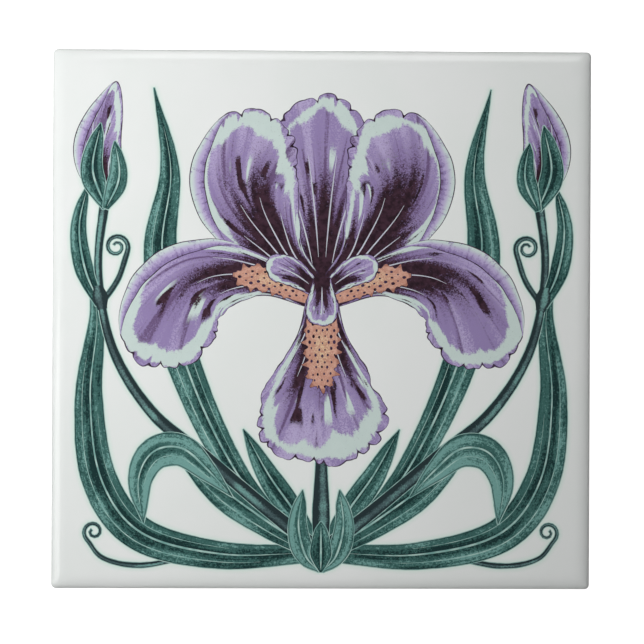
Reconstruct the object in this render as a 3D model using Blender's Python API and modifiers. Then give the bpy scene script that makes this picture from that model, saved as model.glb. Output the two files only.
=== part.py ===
"""Six inch square glazed wall tile, pressed and fired as one piece.

The tile lies on its back with the glazed face up. The origin is the centre of the back's bed plane,
+Z is out through the face and +Y is the edge that is uppermost on a wall. Lengths are in metres.
"""

import math

import bmesh
import bpy
from mathutils import Matrix

# Driving dimensions
SIDE = 0.152
THICKNESS = 0.008

# The face rolls over into the sides in a quarter ellipse, and the sides meet the bed in a small arris
ROLL_WIDTH = 0.0040
ROLL_DROP = 0.0014
PLAN_CORNER_WIDTH = 0.0013
BED_ARRIS_WIDTH = 0.0005
ROLL_SEGMENTS = 8

# Shallow square pockets key the bed to its adhesive, with ribs between them
POCKETS_ACROSS = 8
POCKET_PITCH = 0.017
POCKET_MOUTH = 0.0135
POCKET_FLOOR = 0.0125
POCKET_DEPTH = 0.0008
CUTTER_OVERSHOOT = 0.0005

GLAZE_COLOUR = (0.80, 0.82, 0.80, 1.0)
GLAZE_ROUGHNESS = 0.12


def clear_scene():
    """Remove every object, so that only the tile and its cutter are left."""
    for obj in list(bpy.data.objects):
        bpy.data.objects.remove(obj, do_unlink=True)


def new_collection(name):
    collection = bpy.data.collections.new(name)
    bpy.context.scene.collection.children.link(collection)
    return collection


def glaze_material():
    material = bpy.data.materials.new("white_glaze")
    material.use_nodes = True
    shader = material.node_tree.nodes["Principled BSDF"]
    shader.inputs["Base Color"].default_value = GLAZE_COLOUR
    shader.inputs["Roughness"].default_value = GLAZE_ROUGHNESS
    shader.inputs["Metallic"].default_value = 0.0
    return material


def rounding_width(edge):
    """How wide the rounding of one edge of the slab is: plan corner, bed arris or face roll."""
    low, high = sorted(vertex.co.z for vertex in edge.verts)
    if low != high:
        return PLAN_CORNER_WIDTH
    return BED_ARRIS_WIDTH if low == 0.0 else ROLL_WIDTH


def make_slab(collection):
    """The pressed slab: a square plate whose edges are each rounded by their own width.

    It is rounded while it is taller than the tile and then flattened, so that the face's round edge
    comes out as an ellipse, wider than it is deep.
    """
    flattening = ROLL_DROP / ROLL_WIDTH
    tall = THICKNESS / flattening
    bm = bmesh.new()
    bmesh.ops.create_cube(bm, size=1.0)
    bmesh.ops.translate(bm, verts=bm.verts, vec=(0.0, 0.0, 0.5))
    bmesh.ops.scale(bm, verts=bm.verts, vec=(SIDE, SIDE, tall))
    weights = bm.edges.layers.float.new("bevel_weight_edge")
    for edge in bm.edges:
        edge[weights] = rounding_width(edge) / ROLL_WIDTH
    mesh = bpy.data.meshes.new("tile")
    bm.to_mesh(mesh)
    bm.free()

    tile = bpy.data.objects.new("tile", mesh)
    collection.objects.link(tile)
    rounding = tile.modifiers.new("rounded_edges", "BEVEL")
    rounding.limit_method = "WEIGHT"
    rounding.width = ROLL_WIDTH
    rounding.segments = ROLL_SEGMENTS
    rounded = tile.evaluated_get(bpy.context.evaluated_depsgraph_get())
    tile.data = bpy.data.meshes.new_from_object(rounded)
    tile.modifiers.clear()
    tile.data.transform(Matrix.Diagonal((1.0, 1.0, flattening, 1.0)))
    return tile


def make_pocket_cutter(collection):
    """Every keying pocket in one cutter: square frusta that narrow upwards into the tile."""
    height = POCKET_DEPTH + CUTTER_OVERSHOOT
    flare = (POCKET_MOUTH - POCKET_FLOOR) * CUTTER_OVERSHOOT / POCKET_DEPTH
    square_to_radius = math.sqrt(0.5)
    square_up = Matrix.Rotation(math.radians(45.0), 3, "Z")
    middle = (POCKETS_ACROSS - 1) / 2

    bm = bmesh.new()
    for column in range(POCKETS_ACROSS):
        for row in range(POCKETS_ACROSS):
            pocket = bmesh.ops.create_cone(
                bm,
                cap_ends=True,
                segments=4,
                radius1=(POCKET_MOUTH + flare) * square_to_radius,
                radius2=POCKET_FLOOR * square_to_radius,
                depth=height,
            )["verts"]
            place = (
                (column - middle) * POCKET_PITCH,
                (row - middle) * POCKET_PITCH,
                height / 2 - CUTTER_OVERSHOOT,
            )
            bmesh.ops.rotate(bm, verts=pocket, matrix=square_up)
            bmesh.ops.translate(bm, verts=pocket, vec=place)
    mesh = bpy.data.meshes.new("pocket_cutter")
    bm.to_mesh(mesh)
    bm.free()

    cutter = bpy.data.objects.new("pocket_cutter", mesh)
    collection.objects.link(cutter)
    cutter.hide_render = True
    cutter.display_type = "WIRE"
    return cutter


def make_tile():
    """The tile: the rounded slab with its keying pockets cut out of the bed."""
    tile = make_slab(new_collection("art_nouveau_tile"))
    keying = tile.modifiers.new("keying_pockets", "BOOLEAN")
    keying.operation = "DIFFERENCE"
    keying.solver = "EXACT"
    keying.object = make_pocket_cutter(new_collection("cutters"))
    tile.data.materials.append(glaze_material())
    tile.data.shade_smooth()
    return tile


clear_scene()
make_tile()
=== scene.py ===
"""Looks of the glazed picture tile: the fired body, the white glaze and the flat print under it.

The printed face is one plane. It is cut along every printed edge into sheets that meet exactly: white
glaze where nothing is printed, and one sheet for each ink. The picture is drawn in plan, in millimetres
from the tile's centre, with +y towards its top edge, and is mirrored about x = 0.
"""

import math

import bmesh
import bpy
import numpy as np
from mathutils import Matrix, Vector
from mathutils.bvhtree import BVHTree
from mathutils.geometry import area_tri, delaunay_2d_cdt
from mathutils.interpolate import poly_3d_calc
from mathutils.kdtree import KDTree


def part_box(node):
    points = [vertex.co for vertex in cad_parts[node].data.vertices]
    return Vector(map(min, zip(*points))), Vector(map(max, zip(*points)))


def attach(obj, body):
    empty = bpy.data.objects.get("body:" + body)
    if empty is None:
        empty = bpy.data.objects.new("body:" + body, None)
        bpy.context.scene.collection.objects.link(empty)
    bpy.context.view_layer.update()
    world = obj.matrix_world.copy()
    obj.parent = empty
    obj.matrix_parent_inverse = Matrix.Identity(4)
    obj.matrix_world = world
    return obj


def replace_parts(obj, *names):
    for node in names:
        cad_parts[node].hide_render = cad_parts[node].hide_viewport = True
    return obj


MM = 0.001

# Glaze skin, in millimetres. The tile's own size is read from the frame.
GLAZE_INSET = 0.06
ROLL_WIDTH = 4.0
ROLL_DROP = 1.4
ROLL_STEPS = 18
OUTER_CORNER = 1.3
FACE_CORNER = 2.2
SIDE_STEPS = 94
CORNER_STEPS = 9
# A second outline, this far inside the flat face's edge, keeps the triangles along the edge small
GUARD_WIDTH = 0.7
# The glaze ends in a wavy line on the sides, where it gathers in a slight bead
GLAZE_LINE = 3.2
GLAZE_LINE_WANDER = 0.7
GLAZE_LINE_SEED = 5
GLAZE_LINE_WAVES = (9, 23, 41)
GLAZE_BEAD = 0.05
# Rings down a glazed side: their share of the way to the glaze's end, and how far they stand out
SIDE_RINGS = ((0.4, 0.0), (0.75, 0.0), (0.88, GLAZE_BEAD), (0.97, GLAZE_BEAD))

# Fired body, in millimetres
BODY_INSET = 0.16
BODY_DROP = 0.6
BODY_CORNER = 1.3
BODY_CORNER_SEGMENTS = 6
BODY_ROUNDING = 1.2
BODY_ROUNDING_SEGMENTS = 5
ARRIS_ROUNDING = 0.22
ARRIS_SEGMENTS = 2
ARRIS_ANGLE = math.radians(35)
POCKETS_ACROSS = 8
POCKET_PITCH = 17.0
POCKET_MOUTH = 13.5
POCKET_FLOOR = 12.5
POCKET_DEPTH = 0.8
CUTTER_OVERSHOOT = 0.5

# Lines of the print, in millimetres
OUTLINE_WEIGHT = 0.24
OUTLINE_WANDER = 0.14
OUTLINE_AT_TEARS = 0.75
THINNEST_OUTLINE = 0.08
FOLD_OUTLINE = 0.28
FOLD_OVERHANG = 0.5
BEARD_OUTLINE = 0.2
PALE_BORDER = 0.2
VEIN_WIDTH = 0.28
KNUCKLE_REACH = 3.4
KNUCKLE_HALF = 1.35
KNUCKLE_SWELL = 0.85

# Dark dots on the beards, in millimetres
DOT_PITCH = 1.75
DOT_STRAY = 0.28
DOT_LENGTHS = (0.55, 1.15)
DOT_ROUNDNESS = 0.75
DOT_MARGIN = 1.1

# Tendrils: points to a full turn, and how much tighter the spiral is at its end
SPIRAL_STEPS = 14
SPIRAL_TIGHTENING = 0.75

# Cutting the face into inks, in millimetres
CUT_TOLERANCE = 1e-3
WELD = 1e-3
CRUMB_AREA = 0.1
BARE = "white_glaze"
GREEN_INKS = ("green_stems", "green_leaves", "leaf_folds")
BLEED_REACH = 1.5
BLEED_RINGS = (0.35, 0.8, 1.5)
# Attributes that hold a shape's own coordinates, as shares of its size and in millimetres
SHARES = "ink_shares"
LENGTHS = "ink_lengths"

# Glaze and clay: the print's grain and the bumps' depths in millimetres
GRAIN = 0.34
GLAZE_ROUGHNESS = 0.10
GLAZE_IOR = 1.52
RIPPLE_SCALE = 70.0
RIPPLE_DEPTH = 0.03
CLAY_ROUGHNESS = 0.85
CLAY_GRAIN_SCALE = 1400.0
CLAY_GRAIN_DEPTH = 0.12

# Inks and clays as linear colours
WHITE_GLAZE = (0.815, 0.833, 0.822)
GREY_GLAZE = (0.79, 0.819, 0.80)
MINT_BLEED = (0.62, 0.78, 0.70)
VIOLET = (0.294, 0.225, 0.435)
PALE_VIOLET = (0.475, 0.402, 0.625)
DEEP_VIOLET = (0.150, 0.095, 0.205)
LILAC = (0.52, 0.45, 0.64)
SAGE = (0.555, 0.660, 0.630)
PALE_SAGE = (0.61, 0.71, 0.68)
MAROON = (0.053, 0.023, 0.037)
BLACK_MAROON = (0.022, 0.010, 0.016)
OUTLINE_INK = (0.062, 0.036, 0.075)
DARK_TEAL = (0.009, 0.034, 0.034)
TEAL = (0.046, 0.132, 0.119)
PALE_TEAL = (0.175, 0.365, 0.335)
DARK_STEM = (0.020, 0.036, 0.040)
STEM = (0.075, 0.128, 0.135)
VEIN = (0.43, 0.62, 0.57)
PEACH = (0.515, 0.250, 0.184)
PALE_PEACH = (0.665, 0.392, 0.307)
DARK_PEACH = (0.325, 0.136, 0.10)
PALE_YELLOW = (0.76, 0.60, 0.36)
CLAY = (0.70, 0.62, 0.50)
CLAY_SHADE = (0.52, 0.43, 0.33)
CLAY_SPECK = (0.16, 0.10, 0.07)

# Floor, in metres
FLOOR_HALF = 1.5
FLOOR_GAP = 0.0002
FLOOR_GLOW = 0.98
FLOOR_ROUGHNESS = 0.9
FLOOR_MOTTLE_SCALE = 3.0
FLOOR_GREYS = ((0.60, 0.60, 0.60), (0.63, 0.63, 0.63))

# Surroundings: where each light fades, turning away from the key and rising, and its strength
SKY_TURN = (-0.12, 0.10)
SKY_RISE = (0.02, 0.5)
SKY_LIGHT = 0.05
BOUNCE_TURN = (-0.2, 0.4)
BOUNCE_RISE = (-0.1, 0.1)
BOUNCE_LIGHT = 0.65
AMBIENT_LIGHT = 0.08

# Soft boxes, in metres and watts: the key, and the sheens, each with its place and power
KEY_PLACE = (-0.17, 0.07, 0.27)
KEY_SIZE = 0.26
KEY_POWER = 0.835
SHEENS = (((-0.36, -0.13, 0.46), 0.50), ((0.05, 0.36, 0.46), 0.50))
SHEEN_SIZE = 0.26

# Camera, in metres, with its sensor in millimetres
SENSOR = 36.0
CAMERA_HEIGHT = 0.9
CAMERA_TILT = math.radians(1.5)
CAMERA_ROLL = math.radians(0.25)
FRAME_WIDTH = 0.18155
AIM = (0.00004, -0.00066)


# Curves and patches in plan


class Curve:
    """A smooth curve in plan through a few points, read by its share of the length."""

    STEPS = 24

    def __init__(self, *points):
        path = np.array(points, float)
        padded = np.vstack([2 * path[0] - path[1], path, 2 * path[-1] - path[-2]])
        # A cubic joins each pair of points, and takes its slopes from the points on either side
        t = np.linspace(0, 1, self.STEPS, endpoint=False)[:, None]
        spans = []
        for a, b, c, d in zip(padded, padded[1:], padded[2:], padded[3:]):
            bend = t**2 * (a - 2.5 * b + 2 * c - 0.5 * d) + 0.5 * t**3 * (3 * (b - c) + d - a)
            spans.append(b + 0.5 * t * (c - a) + bend)
        self.points = np.vstack([*spans, path[-1:]])
        self.along = np.insert(np.cumsum(np.linalg.norm(np.diff(self.points, axis=0), axis=1)), 0, 0.0)
        self.length = self.along[-1]

    def at(self, share):
        """The points at these shares of the length."""
        travel = np.clip(share, 0, 1) * self.length
        return np.stack([np.interp(travel, self.along, self.points[:, k]) for k in (0, 1)], axis=-1)

    def heading(self, share):
        """Unit tangents at these shares of the length."""
        near = 0.5 / len(self.points)
        share = np.clip(share, 0, 1)
        step = self.at(share + near) - self.at(share - near)
        return step / np.linalg.norm(step, axis=-1, keepdims=True)

    def place(self, along, across):
        """Points that far along the curve and to its left. Past its ends the curve runs on straight."""
        share = np.clip(along / self.length, 0, 1)
        tangent = self.heading(share)
        left = np.stack([-tangent[..., 1], tangent[..., 0]], axis=-1)
        past = along - share * self.length
        return self.at(share) + tangent * past[..., None] + left * across[..., None]


def ease(value, low, high):
    """0 below low, 1 above high, and smooth between them."""
    t = np.clip((value - low) / (high - low), 0, 1)
    return t * t * (3 - 2 * t)


def wander(place, seed, *waves):
    """A smooth irregular wave along a line, about -1 to 1."""
    phases = np.random.default_rng(seed).uniform(0, math.tau, len(waves))
    total = sum(np.sin(math.tau * wave * place + phase) for wave, phase in zip(waves, phases))
    return total / len(waves) ** 0.7


def ruffle(place, seed, *waves):
    """A frilled edge: rounded lobes with sharp notches between them, about -1 to 1."""
    mean_lobe, overall = 1.27, 1.6
    phases = np.random.default_rng(seed).uniform(0, math.pi, len(waves))
    lobes = [np.abs(np.sin(math.pi * wave * place + phase)) * 2 for wave, phase in zip(waves, phases)]
    return sum((lobe - mean_lobe) / rank for rank, lobe in enumerate(lobes, start=1)) / overall


class Patch:
    """A printed shape with two coordinates of its own, from which the inks work out their pattern."""

    def outline(self):
        """The shape's edge as one closed polygon."""
        raise NotImplementedError

    def grid(self):
        """Rows of points over the shape, with the two vectors that the inks read at each."""
        raise NotImplementedError


class Petal(Patch):
    """A petal on a curved axis. u runs from its base to its rim, and v round the rim from -1 to 1."""

    FAN = 1.7  # over 1, the rays from the base start nearly straight and then spread
    USUAL_WIDTH = 32.0
    OVERRUN = 1.06  # the frill stands a little outside u = 1
    LEAST_DEPTH = 0.05
    TEAR_DEPTH = 1.5
    TEAR_WIDTH = 1.3
    GRID_STEPS = 26, 91

    def __init__(
        self, spine, width, profile, frill, seed, waves=(6, 10, 17, 27), rim_points=420, tears=(0, 0, 0)
    ):
        self.spine, self.half, self.frill = spine, width / 2, frill
        self.seed, self.waves, self.rim_points = seed, waves, rim_points
        left = list(profile)
        right = [(x, -y) for x, y in reversed(left[:-1])]
        self.profile = Curve(*[(x * spine.length, y * self.half) for x, y in left + right])
        draw = np.random.default_rng(seed)
        start, end, count = tears
        gap = (end - start) / max(count, 1)
        self.tear_places = start + gap * (np.arange(count) + draw.uniform(0.1, 0.9, count))
        self.tear_depths = draw.uniform(0.3, 1.0, count) * self.TEAR_DEPTH

    def torn(self, v):
        """How near these places on the rim are to a small tear, and how deep the tears cut there."""
        reach = 2 * self.TEAR_WIDTH / self.profile.length
        near = np.clip(1 - np.abs(v[..., None] - self.tear_places) / reach, 0, 1) ** 1.5
        return near.sum(axis=-1), (near * self.tear_depths).sum(axis=-1)

    def edge(self, v, inset=0.0, frill=1.0):
        """Points on the frilled rim, or on a line that far inside it."""
        share = (v + 1) / 2
        tangent = self.profile.heading(share)
        outward = np.stack([-tangent[..., 1], tangent[..., 0]], axis=-1)
        calm = ease(1 - np.abs(v), 0.12, 0.5)
        lift = self.frill * calm * ruffle(share, self.seed, *self.waves) - self.torn(v)[1]
        point = self.profile.at(share) + outward * (lift * frill - inset)[..., None]
        return self.spine.place(point[..., 0], point[..., 1])

    def local(self, u, v):
        rim = self.profile.at((v + 1) / 2)
        base = self.profile.at(0.0)[1] * -v
        return rim[..., 0] * u, base + (rim[..., 1] - base) * u**self.FAN

    def at(self, u, v):
        return self.spine.place(*self.local(u, v))

    def depth(self, v):
        """Millimetres inwards from the rim for a unit of u."""
        run = self.profile.heading((v + 1) / 2)
        rim, base = self.profile.at((v + 1) / 2), self.profile.at(0.0)[1] * -v
        ray = np.stack([rim[..., 0], self.FAN * (rim[..., 1] - base)], axis=-1)
        return np.abs(ray[..., 0] * run[..., 1] - ray[..., 1] * run[..., 0]) + self.LEAST_DEPTH

    def outline(self, inset=0.0):
        return self.edge(self.rim_places(), inset)

    def rim_places(self):
        return np.linspace(-0.995, 0.995, self.rim_points)

    def grid(self):
        columns, rows = self.GRID_STEPS
        u, v = np.meshgrid(np.linspace(0.0, self.OVERRUN, columns), np.linspace(-1, 1, rows))
        along, across = self.local(u, v)
        inward = (1 - u) * self.depth(v) * self.USUAL_WIDTH / (2 * self.half)
        return self.spine.place(along, across), (u, v, self.seed), (along, across, inward)


class Ribbon(Patch):
    """A stem, blade or line: a curve with a width. u runs along it and v across it, from -1 to 1."""

    def __init__(self, spine, half_width, seed=0, pitch=1.0, across=5):
        self.spine, self.half_width, self.seed = spine, half_width, seed
        self.steps = max(8, round(spine.length / pitch))
        self.rows = across

    def at(self, u, v):
        return self.spine.place(u * self.spine.length, v * self.half_width(u))

    def outline(self, grow=0.0):
        u = np.linspace(0, 1, self.steps + 1)
        half = self.half_width(u) + grow
        travel = u * (self.spine.length + 2 * grow) - grow
        right, left = self.spine.place(travel, -half), self.spine.place(travel, half)
        return np.vstack([right, left[::-1]])

    def grid(self):
        u, v = np.meshgrid(np.linspace(0, 1, self.steps + 1), np.linspace(-1, 1, self.rows))
        half = self.half_width(u)
        shares = (u, v, self.seed)
        lengths = (u * self.spine.length, v * half, (1 - np.abs(v)) * half)
        return self.at(u, v), shares, lengths


class Dot(Patch):
    """A small oval of solid ink. u runs from its centre to its edge and v round it."""

    SIDES = 12

    def __init__(self, centre, heading, length, width):
        self.centre = np.array(centre)
        self.axes = np.array([heading * length / 2, np.array([-heading[1], heading[0]]) * width / 2])

    def at(self, u, v):
        turn = np.pi * v
        return self.centre + np.stack([np.cos(turn) * u, np.sin(turn) * u], axis=-1) @ self.axes

    def outline(self):
        return self.at(1.0, np.linspace(-1, 1, self.SIDES, endpoint=False))

    def grid(self):
        u, v = np.meshgrid((0.0, 1.0), np.linspace(-1, 1, self.SIDES + 1))
        return self.at(u, v), (u, v, 0.0), (0.0, 0.0, 0.0)


class Mirrored(Patch):
    """Another patch, reflected in the tile's upright centre line."""

    FLIP = np.array([-1.0, 1.0])
    SEED_SHIFT = 0.4  # so that the two sides of the picture don't match stroke for stroke

    def __init__(self, patch):
        self.patch = patch

    def outline(self, **change):
        return self.patch.outline(**change) * self.FLIP

    def grid(self):
        points, shares, lengths = self.patch.grid()
        return points * self.FLIP, (*shares[:2], shares[2] + self.SEED_SHIFT), lengths


def tapered(start, middle, end, belly=0.4):
    """A half-width that swells from its start to its belly and then narrows to its end."""
    shoulder = (belly / 2, (start + 2 * middle) / 3)
    swell = Curve((0, start), shoulder, (belly, middle), (0.8, middle * 0.62), (1, end)).points
    return lambda u: np.interp(u, swell[:, 0], swell[:, 1])


def whiplash(points, curl, turns, side):
    """A curve through the points that goes on into a spiral of that radius, to its left (1) or right (-1)."""
    lead = Curve(*points)
    place, tangent = lead.at(1.0), lead.heading(1.0)
    heading = math.atan2(tangent[1], tangent[0])
    turn = math.tau / SPIRAL_STEPS
    path = list(lead.at(np.linspace(0, 1, round(lead.length / (curl * turn)))))
    steps = round(SPIRAL_STEPS * turns)
    for step in range(steps):
        radius = curl * (1 - SPIRAL_TIGHTENING * step / steps)
        heading += side * turn / 2
        place = place + radius * turn * np.array([math.cos(heading), math.sin(heading)])
        heading += side * turn / 2
        path.append(place)
    return Curve(*path)


# The picture


class Picture:
    """The printed shapes from the lowest to the topmost, each with the ink it is printed in."""

    def __init__(self):
        self.shapes = []

    def print_shape(self, ink, patch, outline=None):
        self.shapes.append((ink, patch, patch.outline() if outline is None else outline))

    def both_sides(self, draw, *arguments):
        """Draw something on the right, and its mirror image on the left."""
        start = len(self.shapes)
        draw(self, *arguments)
        for ink, patch, outline in self.shapes[start:]:
            self.shapes.append((ink, Mirrored(patch), outline * Mirrored.FLIP))


# Half a petal's outline, from its base to its tip, as shares of its length and half-width
FALL = [(0, 0.24), (0.22, 0.38), (0.46, 0.74), (0.72, 1.0), (0.92, 0.74), (1.0, 0.0)]
STANDARD = [(0, 0.22), (0.18, 0.40), (0.40, 0.82), (0.66, 1.0), (0.90, 0.70), (1.0, 0.0)]
BACK_STANDARD = [(0, 0.3), (0.3, 0.6), (0.62, 1.0), (0.88, 0.72), (1.0, 0.0)]
BEARD = [(0, 0.7), (0.3, 0.95), (0.6, 0.95), (0.88, 0.72), (1.0, 0.0)]
STYLE_ARM = [(0, 0.5), (0.35, 0.8), (0.7, 1.0), (0.9, 0.7), (1.0, 0.0)]
BUD = [(0, 0.5), (0.25, 0.95), (0.5, 1.0), (0.78, 0.62), (1.0, 0.0)]


def draw_petal(picture, petal, lines, line_start=0.06, line_end=0.55):
    """A petal with its inked outline, heavier at the tears, and the pale lines that run up from its base."""
    v = petal.rim_places()
    waver = OUTLINE_WANDER * wander(v, petal.seed + 40, 2, 5, 9)
    weight = OUTLINE_WEIGHT + waver + OUTLINE_AT_TEARS * petal.torn(v)[0]
    picture.print_shape("dark_outlines", petal)
    picture.print_shape("violet_petals", petal, petal.outline(inset=np.maximum(weight, THINNEST_OUTLINE)))
    for place in lines:
        u = np.linspace(line_start, line_end, 9)
        spine = Curve(*petal.at(u, np.full(9, place)))
        picture.print_shape("lilac_lines", Ribbon(spine, tapered(0.05, 0.2, 0.05)))


def draw_fold(picture, petal, start, end, depth):
    """A length of a petal's rim that turns over towards the viewer."""
    share = np.linspace(0, 1, 30)

    def half(u, border=0.0):
        return (depth / 2 + border) * np.sin(np.pi * np.clip(u, 0.01, 0.99)) ** 0.8

    inset = half(share) * (1 - 2 * FOLD_OVERHANG / depth)
    spine = Curve(*petal.edge(start + (end - start) * share, inset, frill=0.35))
    picture.print_shape("dark_outlines", Ribbon(spine, lambda u: half(u, FOLD_OUTLINE)))
    picture.print_shape("petal_folds", Ribbon(spine, half, petal.seed, across=9))


def draw_beard(picture, beard):
    """The tufted crest at the top of a fall: a spiky peach tongue set with uneven dark dots."""
    picture.print_shape("dark_outlines", beard)
    picture.print_shape("peach_beards", beard, beard.outline(inset=BEARD_OUTLINE))
    along = beard.profile.points[: len(beard.profile.points) // 2, 0]
    half = beard.profile.points[: len(along), 1]
    columns = math.ceil(beard.half / DOT_PITCH)
    draw = np.random.default_rng(beard.seed)
    for row in range(int(beard.spine.length / DOT_PITCH)):
        travel = (row + 0.6) * DOT_PITCH
        for column in range(-columns, columns + 1):
            side = (column + 0.5 * (row % 2)) * DOT_PITCH
            stray = draw.uniform(-DOT_STRAY, DOT_STRAY, 2)
            length = draw.uniform(*DOT_LENGTHS)
            if abs(side) < np.interp(travel, along, half) - DOT_MARGIN:
                centre = beard.spine.place(travel + stray[:1], side + stray[1:])[0]
                heading = beard.spine.heading(travel / beard.spine.length)
                picture.print_shape("dark_outlines", Dot(centre, heading, length, DOT_ROUNDNESS * length))


def draw_style_arm(picture, spine, width, seed):
    draw_petal(picture, Petal(spine, width, STYLE_ARM, 0.35, seed, (5, 9), 110), (0.0,), 0.2, 0.8)


def draw_flower_side(picture):
    """The standard and the fall on the right of the flower, with their turned rims."""
    upright = Curve((3, 10), (13, 21), (21.5, 38), (16.5, 59))
    standard = Petal(upright, 30, STANDARD, 0.85, 11, tears=(-0.45, 0.12, 6))
    draw_petal(picture, standard, (-0.36, -0.12, 0.12, 0.36))
    draw_fold(picture, standard, 0.16, 0.66, 3.8)
    drooping = Curve((2.5, 6.5), (19, 12.5), (37, 9), (50, -13))
    fall = Petal(drooping, 28, FALL, 0.95, 23, tears=(-0.12, 0.38, 6))
    draw_petal(picture, fall, (-0.5, -0.25, 0.0, 0.25, 0.5))
    draw_fold(picture, fall, -0.68, -0.16, 3.8)
    crest = Curve((2.2, 6.6), (13, 11), (25, 12.3))
    draw_beard(picture, Petal(crest, 8.0, BEARD, -1.0, 36, (14, 23), 260))


def draw_flower(picture):
    """The flower: a back standard, two standards, two side falls and the fall in front."""
    back = Petal(Curve((0, 3), (0, 64)), 31, BACK_STANDARD, 0.85, 3, tears=(-0.35, 0.35, 6))
    draw_petal(picture, back, (-0.3, -0.1, 0.1, 0.3), 0.25, 0.74)
    picture.both_sides(draw_flower_side)
    front = Petal(Curve((0, 6), (0, -41)), 37, FALL, 1.0, 47, tears=(-0.5, 0.5, 10))
    draw_petal(picture, front, (-0.5, -0.3, -0.1, 0.1, 0.3, 0.5))
    draw_beard(picture, Petal(Curve((0, 5), (0, -20)), 10, BEARD, -1.35, 59, (17, 27), 300))
    picture.both_sides(draw_style_arm, Curve((1, 8), (8, 13), (16, 16)), 8.5, 61)
    draw_style_arm(picture, Curve((0, 12), (0, -2)), 9.5, 67)


def draw_stem(picture, spine, half, seed):
    stem = Ribbon(spine, half, seed)
    picture.print_shape("pale_veins", stem, stem.outline(grow=PALE_BORDER))
    picture.print_shape("green_stems", stem)


def draw_knuckle(picture, place, heading, seed):
    """The swelling on a stem where a leaf or a tendril leaves it."""
    step = np.array(heading) * KNUCKLE_REACH
    axis = Curve(np.array(place) - step, place, np.array(place) + step)

    def half(u):
        return KNUCKLE_HALF + KNUCKLE_SWELL * np.sin(np.pi * u) ** 2

    picture.print_shape("green_stems", Ribbon(axis, half, seed, pitch=0.3))


def draw_blade(picture, spine, half, seed, ink="green_leaves", veins=(-0.5, 0.1, 0.58)):
    """A sword leaf with its pale midrib and the finer veins beside it."""
    blade = Ribbon(spine, half, seed, across=13)
    picture.print_shape("pale_veins", blade, blade.outline(grow=PALE_BORDER))
    picture.print_shape(ink, blade)
    for rank, place in enumerate(sorted(veins, key=abs)):
        u = np.linspace(0.04 + 0.07 * rank, 0.92 - 0.12 * rank, 24)
        vein = Curve(*blade.at(u, np.full(24, place)))
        picture.print_shape("pale_veins", Ribbon(vein, tapered(0.03, VEIN_WIDTH / (rank + 1), 0.03, 0.3)))


def draw_bud(picture):
    """A bud at the head of its stem, half out of its two spathe leaves."""
    bud = Petal(Curve((61, 34), (63, 48), (58, 67)), 12.5, BUD, 0.3, 71, (3, 5), 160)
    draw_petal(picture, bud, (-0.45, -0.1, 0.25), 0.3, 0.85)
    draw_fold(picture, bud, 0.04, 0.86, 2.8)
    draw_blade(picture, Curve((61, 31), (65, 42), (62.5, 55)), tapered(0.8, 3.2, 0.1), 7, veins=(0.1,))
    draw_blade(picture, Curve((61, 31), (57.5, 40), (58.5, 50)), tapered(0.8, 2.7, 0.1), 8, veins=(0.1,))


def draw_foliage_side(picture):
    """The leaves, the bud and the tendrils on the right of the tile, each with its own seed."""
    tall = Curve((7, -64), (25, -42), (39, -12), (45.5, 18), (43, 42), (47.5, 65))
    draw_blade(picture, tall, tapered(2.2, 5.0, 0.1, 0.6), 3)
    outer_tendril = whiplash([(34, -66), (50, -69.3), (61, -67.5), (66, -62)], 2.8, 1.3, 1)
    draw_stem(picture, outer_tendril, tapered(0.6, 0.7, 0.3), 2)
    outer = Curve((3, -66), (28, -66.5), (51, -60.5), (62.5, -45), (65.5, -22), (63.5, 0), (66, 14))
    draw_blade(picture, outer, tapered(2.4, 5.0, 0.1, 0.5), 4)
    inner = Curve((2, -64), (8, -54), (15, -44), (22, -31))
    draw_blade(picture, inner, tapered(2.0, 3.4, 0.1, 0.5), 5, veins=(0.1,))
    middle = Curve((3, -65), (15, -57.5), (27, -49), (35, -42), (42, -34.5))
    draw_blade(picture, middle, tapered(2.2, 4.7, 0.6, 0.55), 6)

    stem = Curve((2, -64), (17, -52), (33, -38.5), (48, -26), (59, -8), (63, 14), (61, 35))
    draw_stem(picture, stem, tapered(2.0, 1.7, 1.4), 1)
    tip = Curve((25, -50), (32, -43), (39.5, -37), (47, -38), (51, -45.5), (50, -57.5))
    draw_blade(picture, tip, tapered(0.1, 4.7, 0.1, 0.5), 10, "leaf_folds", veins=(-0.4, 0.15))

    tendril = whiplash([(62.3, 4), (57.5, 11), (54.8, 19)], 3.3, 1.5, -1)
    draw_stem(picture, tendril, tapered(0.75, 0.7, 0.3), 12)
    bract = Curve((62.6, 4), (67, 14), (68.6, 26), (66, 38))
    draw_blade(picture, bract, tapered(1.2, 2.6, 0.1), 13, veins=(0.1,))
    draw_knuckle(picture, (62.4, 6), stem.heading(0.72), 14)
    draw_bud(picture)


def draw_base(picture):
    """The flower's stem, and the sheath leaves that clasp the foot of the plant."""
    draw_stem(picture, Curve((0, -70), (0, -50), (0, -30)), tapered(1.6, 2.4, 2.2), 9)
    sheath = Curve((0.5, -71), (4.6, -66.5), (6.6, -58), (5.2, -48))
    picture.both_sides(draw_blade, sheath, tapered(0.3, 3.0, 0.1), 15, "leaf_folds", (0.1,))
    draw_blade(picture, Curve((0, -71.2), (0, -57)), tapered(0.3, 3.0, 0.1), 16, veins=(0.0,))


def draw_picture():
    picture = Picture()
    picture.both_sides(draw_foliage_side)
    draw_base(picture)
    draw_flower(picture)
    return picture


# Cutting the face along the printed edges


def lifted(point, height=0.0):
    return Vector((point[0], point[1], height))


def green_patches(picture):
    return [patch for ink, patch, _ in picture.shapes if ink in GREEN_INKS]


def anticlockwise(loop):
    loop = np.array(loop)
    following = np.roll(loop, -1, axis=0)
    area = np.sum(loop[:, 0] * following[:, 1] - loop[:, 1] * following[:, 0])
    return loop if area > 0 else loop[::-1]


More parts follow.
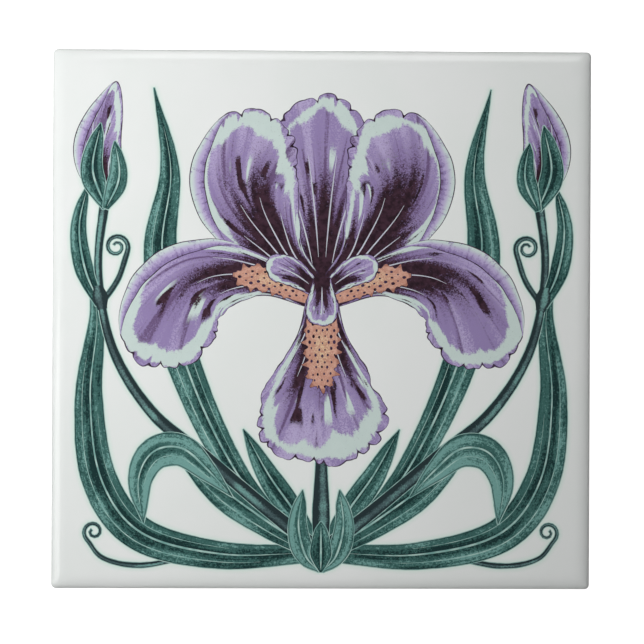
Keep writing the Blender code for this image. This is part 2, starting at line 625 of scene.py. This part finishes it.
def cut_face(picture, edge_loops):
    """Triangles of the face, each with the index of its topmost printed shape, or -1 for bare glaze."""
    points = []
    faces = []
    for loop in (*edge_loops, *(outline for _, _, outline in picture.shapes)):
        faces.append(list(range(len(points), len(points) + len(loop))))
        points += [Vector(p) for p in anticlockwise(loop)]
    for _, patch, _ in picture.shapes:
        points += [Vector(p) for p in patch.grid()[0].reshape(-1, 2)]
    for patch in green_patches(picture):
        points += [Vector(p) for ring in BLEED_RINGS for p in patch.outline(grow=ring)]
    triangles_inside = 1
    cut = delaunay_2d_cdt(points, [], faces, triangles_inside, CUT_TOLERANCE)
    places, triangles, sources = cut[0], cut[2], cut[5]
    owners = [max(max(source) - len(edge_loops), -1) for source in sources]
    absorb_crumbs(places, triangles, owners)
    return places, triangles, owners


def neighbours_of(triangles):
    """For each triangle, those that share an edge with it."""
    sides = {}
    for index, triangle in enumerate(triangles):
        for step, corner in enumerate(triangle):
            sides.setdefault(frozenset((triangle[step - 1], corner)), []).append(index)
    neighbours = [[] for _ in triangles]
    for sharers in sides.values():
        for index in sharers:
            neighbours[index] += [other for other in sharers if other != index]
    return neighbours


def absorb_crumbs(places, triangles, owners):
    """Hand each crumb, which the shapes over it cut off from its own shape, to a shape beside it."""
    neighbours = neighbours_of(triangles)
    seen = set()
    for start, owner in enumerate(owners):
        if start in seen:
            continue
        seen.add(start)
        island = [start]
        for index in island:
            found = [other for other in neighbours[index] if owners[other] == owner and other not in seen]
            seen.update(found)
            island += found
        area = sum(area_tri(*(places[corner] for corner in triangles[index])) for index in island)
        if area < CRUMB_AREA:
            beside = [owners[other] for index in island for other in neighbours[index]]
            others = [other for other in beside if other != owner]
            for index in island:
                owners[index] = max(others, key=others.count)


def ink_reader(patch):
    """A function that reads a patch's own coordinates at any point in plan."""
    points, *groups = patch.grid()
    rows, columns = points.shape[:2]
    points = [lifted(p) for p in points.reshape(-1, 2)]
    values = [
        np.stack([np.broadcast_to(value, (rows, columns)).ravel() for value in group], axis=-1)
        for group in groups
    ]
    first = np.arange(rows * columns).reshape(rows, columns)[:-1, :-1].ravel().tolist()
    faces = [(c, c + 1, c + 1 + columns) for c in first] + [(c, c + 1 + columns, c + columns) for c in first]
    tree = BVHTree.FromPolygons(points, faces)

    def read(place):
        nearest, _, face, _ = tree.find_nearest(lifted(place))
        corners = list(faces[face])
        weights = np.array(poly_3d_calc([points[c] for c in corners], nearest))
        return [weights @ value[corners] for value in values]

    return read


def bleed_reader(picture):
    """A function that tells how strongly the green print bleeds into the white glaze at a point in plan."""
    edge = np.vstack([patch.outline() for patch in green_patches(picture)])
    tree = KDTree(len(edge))
    for index, point in enumerate(edge):
        tree.insert(lifted(point), index)
    tree.balance()

    def read(place):
        distance = tree.find(lifted(place))[2]
        return (1 - ease(distance, 0.0, BLEED_REACH), 0.0, 0.0), (0.0, 0.0, 0.0)

    return read


def rounded_square(half, corner):
    """Points round a square with rounded corners, the same number for any size."""
    points = []
    side = half - corner
    for quarter in range(4):
        turn = Matrix.Rotation(quarter * math.pi / 2, 2)
        for step in range(SIDE_STEPS):
            points.append(turn @ Vector((half, -side + 2 * side * step / SIDE_STEPS)))
        for step in range(CORNER_STEPS):
            angle = math.pi / 2 * step / CORNER_STEPS
            points.append(turn @ Vector((side + corner * math.cos(angle), side + corner * math.sin(angle))))
    return points


def roll_rings(half, top):
    """Rings of points from the flat face over its rolled edge and down to the end of the glaze."""
    rings = []
    for step in range(ROLL_STEPS + 1):
        angle = math.pi / 2 * step / ROLL_STEPS
        out, drop = math.sin(angle), 1 - math.cos(angle)
        corner = FACE_CORNER + (OUTER_CORNER - FACE_CORNER) * out
        ring = rounded_square(half - ROLL_WIDTH * (1 - out), corner)
        rings.append([lifted(p, top - ROLL_DROP * drop) for p in ring])
    round_the_side = np.linspace(0, 1, len(rings[0]), endpoint=False)
    ends = GLAZE_LINE + GLAZE_LINE_WANDER * wander(round_the_side, GLAZE_LINE_SEED, *GLAZE_LINE_WAVES)
    start = top - ROLL_DROP
    tuck = GLAZE_INSET - BODY_INSET
    for share, bulge in (*SIDE_RINGS, (1.0, tuck)):
        ring = rounded_square(half + bulge, OUTER_CORNER)
        rings.append([lifted(p, start + (end - start) * share) for p, end in zip(ring, ends)])
    return rings


def finished_mesh(bm, name):
    mesh = bpy.data.meshes.new(name)
    bm.to_mesh(mesh)
    bm.free()
    return mesh


def add_object(name, data):
    made = bpy.data.objects.new(name, data)
    bpy.context.scene.collection.objects.link(made)
    return made


def make_sheet(name, places, triangles, readings, top, rings=()):
    """A flat sheet of the face, with the inks' coordinates at its corners, and any rings beyond its edge."""
    bm = bmesh.new()
    layers = [bm.loops.layers.float_vector.new(layer) for layer in (SHARES, LENGTHS)]
    made = {}
    for triangle, corners in zip(triangles, readings):
        for index in triangle:
            if index not in made:
                made[index] = bm.verts.new(lifted(places[index], top) * MM)
        face = bm.faces.new([made[index] for index in triangle])
        for loop, reading in zip(face.loops, corners):
            for layer, value in zip(layers, reading):
                loop[layer] = value
    rows = [[bm.verts.new(place * MM) for place in ring] for ring in rings]
    for inner, outer in zip(rows, rows[1:]):
        for step, vertex in enumerate(inner):
            bm.faces.new([inner[step - 1], outer[step - 1], outer[step], vertex])
    bmesh.ops.remove_doubles(bm, verts=bm.verts, dist=WELD * MM)
    for face in bm.faces:
        face.smooth = True
    return finished_mesh(bm, name)


def new_piece(name, mesh, paint, slot):
    piece = add_object(name, mesh)
    mesh.materials.append(paint())
    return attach(piece, "root")


def print_face(picture, half, top):
    """Make the white glaze and a sheet for each ink, which together are the tile's whole glazed skin."""
    edge = rounded_square(half - ROLL_WIDTH, FACE_CORNER)
    guard = rounded_square(half - ROLL_WIDTH - GUARD_WIDTH, FACE_CORNER)
    places, triangles, owners = cut_face(picture, (edge, guard))
    sheets = {}
    for owner in sorted(set(owners)):
        owned = [triangle for triangle, other in zip(triangles, owners) if other == owner]
        if owner < 0:
            ink, read = BARE, bleed_reader(picture)
        else:
            ink, read = picture.shapes[owner][0], ink_reader(picture.shapes[owner][1])
        at_corner = {index: read(places[index]) for index in {i for triangle in owned for i in triangle}}
        sheet_triangles, readings = sheets.setdefault(ink, ([], []))
        sheet_triangles.extend(owned)
        readings.extend([at_corner[index] for index in triangle] for triangle in owned)
    for ink, (owned, readings) in sheets.items():
        rings = roll_rings(half, top) if ink == BARE else ()
        new_piece(ink, make_sheet(ink, places, owned, readings, top, rings), *INK_PAINTS[ink])


# Paints


class Field:
    """A number that varies over a surface, with the arithmetic that makes others from it."""

    def __init__(self, nodes, socket):
        self.nodes, self.socket = nodes, socket

    def compute(self, operation, *others):
        made = self.nodes.node("Math", operation=operation)
        for socket, value in zip(made.inputs, (self, *others)):
            self.nodes.feed(socket, value)
        return Field(self.nodes, made.outputs["Value"])

    def __add__(self, other):
        return self.compute("ADD", other)

    def __sub__(self, other):
        return self.compute("SUBTRACT", other)

    def __rsub__(self, other):
        return self.compute("MULTIPLY_ADD", -1.0, other)

    def __mul__(self, other):
        return self.compute("MULTIPLY", other)

    def __abs__(self):
        return self.compute("ABSOLUTE")

    __radd__ = __add__
    __rmul__ = __mul__

    def sine(self):
        return self.compute("SINE")

    def rising(self, low, high):
        """0 below low, 1 above high, and smooth between them."""
        made = self.nodes.node("MapRange", interpolation_type="SMOOTHSTEP")
        for name, value in (("Value", self), ("From Min", low), ("From Max", high)):
            self.nodes.feed(made.inputs[name], value)
        return Field(self.nodes, made.outputs["Result"])

    def between(self, start, full, fading, end):
        """0 outside start to end, and 1 from full to fading."""
        return self.rising(start, full) * (1 - self.rising(fading, end))


class Nodes:
    """A node tree, with short ways to add to it."""

    def __init__(self, owner):
        owner.use_nodes = True
        self.tree = owner.node_tree

    def node(self, kind, **settings):
        made = self.tree.nodes.new("ShaderNode" + kind)
        for name, value in settings.items():
            setattr(made, name, value)
        return made

    def feed(self, socket, value):
        value = getattr(value, "socket", value)
        if isinstance(value, bpy.types.NodeSocket):
            self.tree.links.new(value, socket)
        elif isinstance(value, tuple) and len(socket.default_value) == 4:
            socket.default_value = (*value, 1.0)
        else:
            socket.default_value = value

    def split(self, vector):
        """The three numbers of a vector."""
        made = self.node("SeparateXYZ")
        self.feed(made.inputs["Vector"], vector)
        return [Field(self, socket) for socket in made.outputs]


class Paint(Nodes):
    """One material, and the nodes that work out its colour and bump."""

    MIX_SHARE, MIX_FIRST, MIX_SECOND, MIX_RESULT = 0, 6, 7, 2

    def __init__(self, name):
        self.material = bpy.data.materials.new(name)
        super().__init__(self.material)
        self.shader = self.tree.nodes["Principled BSDF"]
        self.place = self.node("TexCoord").outputs["Object"]

    def vector(self, x, y, z):
        made = self.node("CombineXYZ")
        for socket, value in zip(made.inputs, (x, y, z)):
            self.feed(socket, value)
        return made.outputs["Vector"]

    def attribute(self, name):
        """The three numbers of a vector attribute."""
        return self.split(self.node("Attribute", attribute_name=name).outputs["Vector"])

    def noise(self, vector, scale, detail=2.0):
        made = self.node("TexNoise")
        for name, value in (("Vector", vector), ("Scale", scale), ("Detail", detail)):
            self.feed(made.inputs[name], value)
        return Field(self, made.outputs["Fac"])

    def grain(self, strength):
        """Fine printed grain, as a number about 0."""
        return (self.noise(self.place, 1 / (GRAIN * MM), 1.0) - 0.5) * strength

    def stippled(self, tone, strength=1.7):
        """A tone that is broken up into grain where it is neither full nor empty."""
        return (tone * 1.5 - 0.25 + self.grain(strength)).rising(0.0, 1.0)

    def mix(self, share, first, second):
        made = self.node("Mix", data_type="RGBA")
        for index, value in ((self.MIX_SHARE, share), (self.MIX_FIRST, first), (self.MIX_SECOND, second)):
            self.feed(made.inputs[index], value)
        return made.outputs[self.MIX_RESULT]

    def bump(self, height, depth):
        """Raise the surface by up to that many millimetres where height is 1."""
        made = self.node("Bump")
        self.feed(made.inputs["Height"], height)
        self.feed(made.inputs["Distance"], depth * MM)
        self.feed(self.shader.inputs["Normal"], made.outputs["Normal"])


def glazed(paint, colour):
    """Finish a colour with the clear high-gloss glaze that lies over the whole face."""
    paint.feed(paint.shader.inputs["Base Color"], colour)
    paint.feed(paint.shader.inputs["Roughness"], GLAZE_ROUGHNESS)
    paint.feed(paint.shader.inputs["IOR"], GLAZE_IOR)
    paint.bump(paint.noise(paint.place, RIPPLE_SCALE, 1.0), RIPPLE_DEPTH)
    return paint.material


def white_glaze_paint():
    paint = Paint("white_glaze")
    bleed, _, _ = paint.attribute(SHARES)
    cloud = paint.noise(paint.place, 45.0, 3.0).rising(0.3, 0.7)
    ground = paint.mix(cloud, GREY_GLAZE, WHITE_GLAZE)
    return glazed(paint, paint.mix(bleed * 0.75, ground, MINT_BLEED))


def violet_paint():
    """Petals: a violet ground, a scalloped sage band inside the rim, and maroon flames from the base."""
    paint = Paint("violet_ink")
    u, v, seed = paint.attribute(SHARES)
    _, _, inward = paint.attribute(LENGTHS)

    def rays(across, along, shift, detail=1.0):
        """Noise that is drawn out along the petal."""
        return paint.noise(paint.vector(v * across, u * along, seed + shift), 1.0, detail)

    # Maroon flames from the base, dark streaks above them and pale lights between the streaks
    reach = rays(5.0, 0.6, 0.0, 2.0) * 0.95 + 0.04 - abs(v) * 0.1
    flames = (reach - u).rising(-0.2, 0.1)
    streaks = rays(13.0, 4.5, 11.0).rising(0.54, 0.72) * u.between(0.30, 0.42, 0.74, 0.86)
    lights = rays(11.0, 1.6, 23.0).rising(0.57, 0.64) * u.between(0.34, 0.46, 0.68, 0.82)
    lights = lights * (1 - (reach - u).rising(-0.22, -0.08))

    # The sage band lies between two ragged lines inside the rim, and violet tongues break into it
    calm = 1 - abs(v).rising(0.45, 0.85)
    lobes = abs((v * 15.0 + seed + rays(3.0, 0.0, 29.0) * 3.0).sine())
    frayed = rays(44.0, 0.6, 61.0)
    inner = (1 - lobes) * calm * 2.4 + rays(3.0, 0.0, 31.0) * 8.5 + frayed * 3.0 - 1.2
    outer = rays(4.0, 0.0, 37.0) * 9.0 + frayed * 1.8 - 3.7
    tongues = (rays(24.0, 0.0, 53.0) - inward * 0.05).rising(0.50, 0.60)
    band = (inward - outer).rising(-0.8, 0.8) * (1 - (inward - inner).rising(-1.3, 1.3)) * (1 - tongues)
    sage = paint.stippled(band * u.rising(0.35, 0.6))

    # The violet ground has paler clouds, and is deeper near the flames and along a few rays
    clouds = rays(3.0, 3.0, 41.0).rising(0.25, 0.8) * 0.5 + rays(15.0, 1.4, 43.0).rising(0.35, 0.7) * 0.45
    shade = (reach - u).rising(-0.45, 0.1) * 0.8 + rays(19.0, 1.2, 71.0, 2.0).rising(0.54, 0.68) * 0.6
    ground = paint.mix(paint.stippled(clouds, 2.6), VIOLET, PALE_VIOLET)
    ground = paint.mix(paint.stippled(shade, 2.0), ground, DEEP_VIOLET)
    pale = paint.mix(paint.noise(paint.place, 400.0), SAGE, PALE_SAGE)
    toned = paint.mix(paint.stippled(lights, 1.0), paint.mix(sage, ground, pale), pale)
    dark = paint.mix(paint.noise(paint.place, 700.0, 3.0).rising(0.35, 0.7), MAROON, BLACK_MAROON)
    toned = paint.mix(paint.stippled(streaks), toned, dark)
    return glazed(paint, paint.mix(paint.stippled(flames), toned, dark))


def fold_paint():
    """Turned rims: pale lilac, hatched with violet and shaded along the inner edge."""
    paint = Paint("fold_ink")
    _, v, seed = paint.attribute(SHARES)
    along, _, _ = paint.attribute(LENGTHS)
    hatching = paint.noise(paint.vector(along * 0.9, v * 0.5, seed), 1.0, 2.0).rising(0.4, 0.7)
    shade = (1 - v.rising(-1.0, 0.1)) * 0.9 + hatching * 0.5
    colour = paint.mix(v.rising(-0.2, 0.9), PALE_VIOLET, PALE_SAGE)
    colour = paint.mix(paint.stippled(shade), colour, VIOLET)
    creases = (1 - v.rising(-1.0, -0.3)) * hatching
    return glazed(paint, paint.mix(paint.stippled(creases), colour, DEEP_VIOLET))


def lilac_paint():
    paint = Paint("lilac_ink")
    return glazed(paint, paint.mix(paint.noise(paint.place, 900.0), LILAC, PALE_SAGE))


def outline_paint():
    paint = Paint("outline_ink")
    mottle = paint.noise(paint.place, 260.0).rising(0.45, 0.65)
    return glazed(paint, paint.mix(mottle, OUTLINE_INK, BLACK_MAROON))


def leaf_paint(name="leaf_ink", lift=0.0):
    """Sword leaves: darkest along the midrib, paler in patches towards the margins, in fine strokes."""
    paint = Paint(name)
    _, v, seed = paint.attribute(SHARES)
    along, across, inward = paint.attribute(LENGTHS)
    strokes = paint.noise(paint.vector(across * 2.0, along * 1.1, seed), 1.0, 2.0) - 0.5
    patches = paint.noise(paint.vector(v * 1.3, along * 0.06, seed + 3), 1.0, 2.0)
    fibres = paint.noise(paint.vector(v * 8.0, along * 0.035, seed + 7), 1.0, 1.0) - 0.5
    from_rib = abs(v - 0.1).rising(0.0, 0.75)
    tone = (patches - 0.5) * 1.7 + from_rib * 0.42 + strokes * 0.95 + fibres * 0.7 + (0.30 + lift)
    light = tone - 0.56 + (1 - v.rising(-0.6, 0.2)) * 0.16
    colour = paint.mix(paint.stippled(tone.rising(0.0, 0.85), 2.0), DARK_TEAL, TEAL)
    colour = paint.mix(paint.stippled(light.rising(0.0, 0.75) * 0.9, 2.0), colour, PALE_TEAL)
    return glazed(paint, paint.mix(inward.rising(0.1, 0.55) * 0.7 + 0.3, DARK_TEAL, colour))


def leaf_fold_paint():
    """The undersides of folded leaves, paler than the upper sides."""
    return leaf_paint("leaf_fold_ink", 0.38)


def stem_paint():
    """Stems: dark, with a stippled light along their left side that comes and goes."""
    paint = Paint("stem_ink")
    _, v, seed = paint.attribute(SHARES)
    along, _, _ = paint.attribute(LENGTHS)
    patches = paint.noise(paint.vector(along * 0.09, seed, 0.0), 1.0).rising(0.35, 0.65)
    light = (1 - abs(v + 0.25) * 1.25).rising(0.0, 0.9)
    colour = paint.mix(paint.stippled(light * (patches * 0.4 + 0.6), 1.3), DARK_STEM, STEM)
    return glazed(paint, paint.mix(paint.stippled(light * (patches * 0.75 - 0.05), 1.4), colour, PALE_TEAL))


def vein_paint():
    paint = Paint("vein_ink")
    return glazed(paint, paint.mix(paint.noise(paint.place, 300.0).rising(0.3, 0.7), PALE_TEAL, VEIN))


def peach_paint():
    """Beards: mottled peach, darker at the tufts and touched with pale yellow along the middle."""
    paint = Paint("peach_ink")
    u, v, _ = paint.attribute(SHARES)
    _, _, inward = paint.attribute(LENGTHS)
    middle = (1 - abs(v) * 1.5).rising(0.0, 1.0) * u.between(0.15, 0.45, 0.6, 0.95)
    colour = paint.mix(paint.stippled(paint.noise(paint.place, 500.0) * 0.9), PEACH, PALE_PEACH)
    colour = paint.mix(paint.stippled(middle * 0.4), colour, PALE_YELLOW)
    tufts = (1 - inward.rising(0.0, 3.5)) * 0.6
    return glazed(paint, paint.mix(paint.stippled(tufts), colour, DARK_PEACH))


def clay_paint():
    """The bare pressed body: a warm pale clay with fine grog and a faint stain from the kiln."""
    paint = Paint("biscuit_clay")
    stain = paint.noise(paint.place, 30.0, 4.0).rising(0.35, 0.75)
    colour = paint.mix(stain * 0.5, CLAY, CLAY_SHADE)
    specks = paint.noise(paint.place, 1800.0, 0.0).rising(0.74, 0.80)
    paint.feed(paint.shader.inputs["Base Color"], paint.mix(specks * 0.45, colour, CLAY_SPECK))
    paint.feed(paint.shader.inputs["Roughness"], CLAY_ROUGHNESS)
    paint.bump(paint.noise(paint.place, CLAY_GRAIN_SCALE, 4.0), CLAY_GRAIN_DEPTH)
    return paint.material


# Each sheet's paint, and the name of the material slot listed for it
INK_PAINTS = {
    BARE: (white_glaze_paint, "white_glaze"),
    "violet_petals": (violet_paint, "violet_ink"),
    "petal_folds": (fold_paint, "violet_ink"),
    "lilac_lines": (lilac_paint, "lilac_ink"),
    "peach_beards": (peach_paint, "peach_ink"),
    "dark_outlines": (outline_paint, "outline_ink"),
    "green_leaves": (leaf_paint, "green_ink"),
    "leaf_folds": (leaf_fold_paint, "green_ink"),
    "green_stems": (stem_paint, "green_ink"),
    "pale_veins": (vein_paint, "vein_ink"),
}


# The fired body


def round_off(bm, edges, width, segments):
    bmesh.ops.bevel(bm, geom=edges, offset=width * MM, segments=segments, profile=0.5, affect="EDGES")


def slab(half, height):
    """A square slab with a rounded upper edge and corners."""
    bm = bmesh.new()
    bmesh.ops.create_cube(bm, size=1.0)
    bmesh.ops.scale(bm, verts=bm.verts, vec=(2 * half * MM, 2 * half * MM, height * MM))
    bmesh.ops.translate(bm, verts=bm.verts, vec=(0, 0, height * MM / 2))
    upright = [edge for edge in bm.edges if edge.verts[0].co.z != edge.verts[1].co.z]
    round_off(bm, upright, BODY_CORNER, BODY_CORNER_SEGMENTS)
    middle = height * MM / 2
    upper = [edge for edge in bm.edges if min(vertex.co.z for vertex in edge.verts) > middle]
    round_off(bm, upper, BODY_ROUNDING, BODY_ROUNDING_SEGMENTS)
    return finished_mesh(bm, "fired_body")


def pocket_cutter():
    """Every keying pocket in one cutter: square frusta that narrow upwards into the body."""
    height = POCKET_DEPTH + CUTTER_OVERSHOOT
    flare = (POCKET_MOUTH - POCKET_FLOOR) * CUTTER_OVERSHOOT / POCKET_DEPTH
    square_to_radius = math.sqrt(0.5)
    middle = (POCKETS_ACROSS - 1) / 2
    bm = bmesh.new()
    for column in range(POCKETS_ACROSS):
        for row in range(POCKETS_ACROSS):
            across, along = (column - middle) * POCKET_PITCH, (row - middle) * POCKET_PITCH
            place = Vector((across, along, height / 2 - CUTTER_OVERSHOOT)) * MM
            bmesh.ops.create_cone(
                bm,
                cap_ends=True,
                segments=4,
                radius1=(POCKET_MOUTH + flare) * square_to_radius * MM,
                radius2=POCKET_FLOOR * square_to_radius * MM,
                depth=height * MM,
                matrix=Matrix.Translation(place) @ Matrix.Rotation(math.pi / 4, 4, "Z"),
            )
    return add_object("pocket_cutter", finished_mesh(bm, "pocket_cutter"))


def make_body(half, top):
    """The pressed clay under the glaze, with its keying pockets and every arris softened."""
    body = new_piece("fired_body", slab(half - BODY_INSET, top - BODY_DROP), clay_paint, "biscuit_clay")
    cutter = pocket_cutter()
    pockets = body.modifiers.new("keying_pockets", "BOOLEAN")
    pockets.operation = "DIFFERENCE"
    pockets.solver = "EXACT"
    pockets.object = cutter
    arrises = body.modifiers.new("softened_arrises", "BEVEL")
    arrises.width = ARRIS_ROUNDING * MM
    arrises.segments = ARRIS_SEGMENTS
    arrises.limit_method = "ANGLE"
    arrises.angle_limit = ARRIS_ANGLE
    finished = bpy.data.meshes.new_from_object(body.evaluated_get(bpy.context.evaluated_depsgraph_get()))
    body.modifiers.clear()
    body.data = finished
    bpy.data.objects.remove(cutter)
    body.data.shade_smooth()
    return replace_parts(body, "tile")


# Staging


def make_floor():
    """A pale floor, which glows faintly so that it stays white where the light falls off."""
    bm = bmesh.new()
    bmesh.ops.create_grid(bm, x_segments=1, y_segments=1, size=FLOOR_HALF)
    floor = add_object("floor", finished_mesh(bm, "floor"))
    floor.location.z = -FLOOR_GAP
    paint = Paint("floor")
    mottle = paint.noise(paint.place, FLOOR_MOTTLE_SCALE)
    paint.feed(paint.shader.inputs["Base Color"], paint.mix(mottle, *FLOOR_GREYS))
    paint.feed(paint.shader.inputs["Roughness"], FLOOR_ROUGHNESS)
    paint.feed(paint.shader.inputs["Emission Color"], (1.0, 1.0, 1.0))
    paint.feed(paint.shader.inputs["Emission Strength"], FLOOR_GLOW)
    floor.data.materials.append(paint.material)
    floor.visible_diffuse = False
    floor.visible_glossy = False


def make_world():
    """Soft surroundings: a pale sky on the key's side, and the floor's bounce on the far side."""
    world = bpy.data.worlds.new("studio")
    bpy.context.scene.world = world
    nodes = Nodes(world)
    x, y, z = nodes.split(nodes.node("TexCoord").outputs["Generated"])
    away = (x - y) * math.sqrt(0.5)
    sky = (1 - away.rising(*SKY_TURN)) * z.rising(*SKY_RISE) * SKY_LIGHT
    bounce = away.rising(*BOUNCE_TURN) * (1 - z.rising(*BOUNCE_RISE)) * BOUNCE_LIGHT
    background = nodes.tree.nodes["Background"]
    nodes.feed(background.inputs["Color"], (1.0, 1.0, 1.0))
    nodes.feed(background.inputs["Strength"], sky + bounce + AMBIENT_LIGHT)


def make_lamp(name, place, size, power, glossy):
    """A square soft box that faces the tile, seen in the gloss or not."""
    lamp = bpy.data.lights.new(name, "AREA")
    lamp.size = size
    lamp.energy = power
    holder = add_object(name, lamp)
    holder.location = place
    holder.rotation_euler = (-Vector(place)).to_track_quat("-Z", "Y").to_euler()
    holder.visible_glossy = glossy


def make_camera(face):
    """The photograph's view: straight down, a little from the left, through a long lens."""
    camera = bpy.data.cameras.new("camera")
    camera.sensor_width = SENSOR
    camera.lens = SENSOR * CAMERA_HEIGHT / FRAME_WIDTH
    holder = add_object("camera", camera)
    aim = Vector((*AIM, face))
    stand = Vector((-math.sin(CAMERA_TILT), 0, math.cos(CAMERA_TILT))) * CAMERA_HEIGHT
    holder.location = aim + stand
    view = Matrix.Rotation(-CAMERA_TILT, 4, "Y") @ Matrix.Rotation(CAMERA_ROLL, 4, "Z")
    holder.rotation_euler = view.to_euler()
    bpy.context.scene.camera = holder


# The scene

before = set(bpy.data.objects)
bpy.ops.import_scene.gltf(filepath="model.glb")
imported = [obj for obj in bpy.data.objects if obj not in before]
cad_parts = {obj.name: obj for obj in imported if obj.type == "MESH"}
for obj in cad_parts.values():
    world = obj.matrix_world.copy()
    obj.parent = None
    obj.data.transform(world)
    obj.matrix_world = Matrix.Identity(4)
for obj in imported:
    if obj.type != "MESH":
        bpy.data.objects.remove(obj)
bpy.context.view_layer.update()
_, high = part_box("tile")
tile_half = high.x / MM
tile_top = high.z / MM

bpy.context.scene.view_settings.view_transform = "Standard"
print_face(draw_picture(), tile_half - GLAZE_INSET, tile_top)
make_body(tile_half, tile_top)

make_floor()
make_world()
make_lamp("key", KEY_PLACE, KEY_SIZE, KEY_POWER, False)
for place, power in SHEENS:
    make_lamp("sheen", place, SHEEN_SIZE, power, True)
make_camera(high.z)
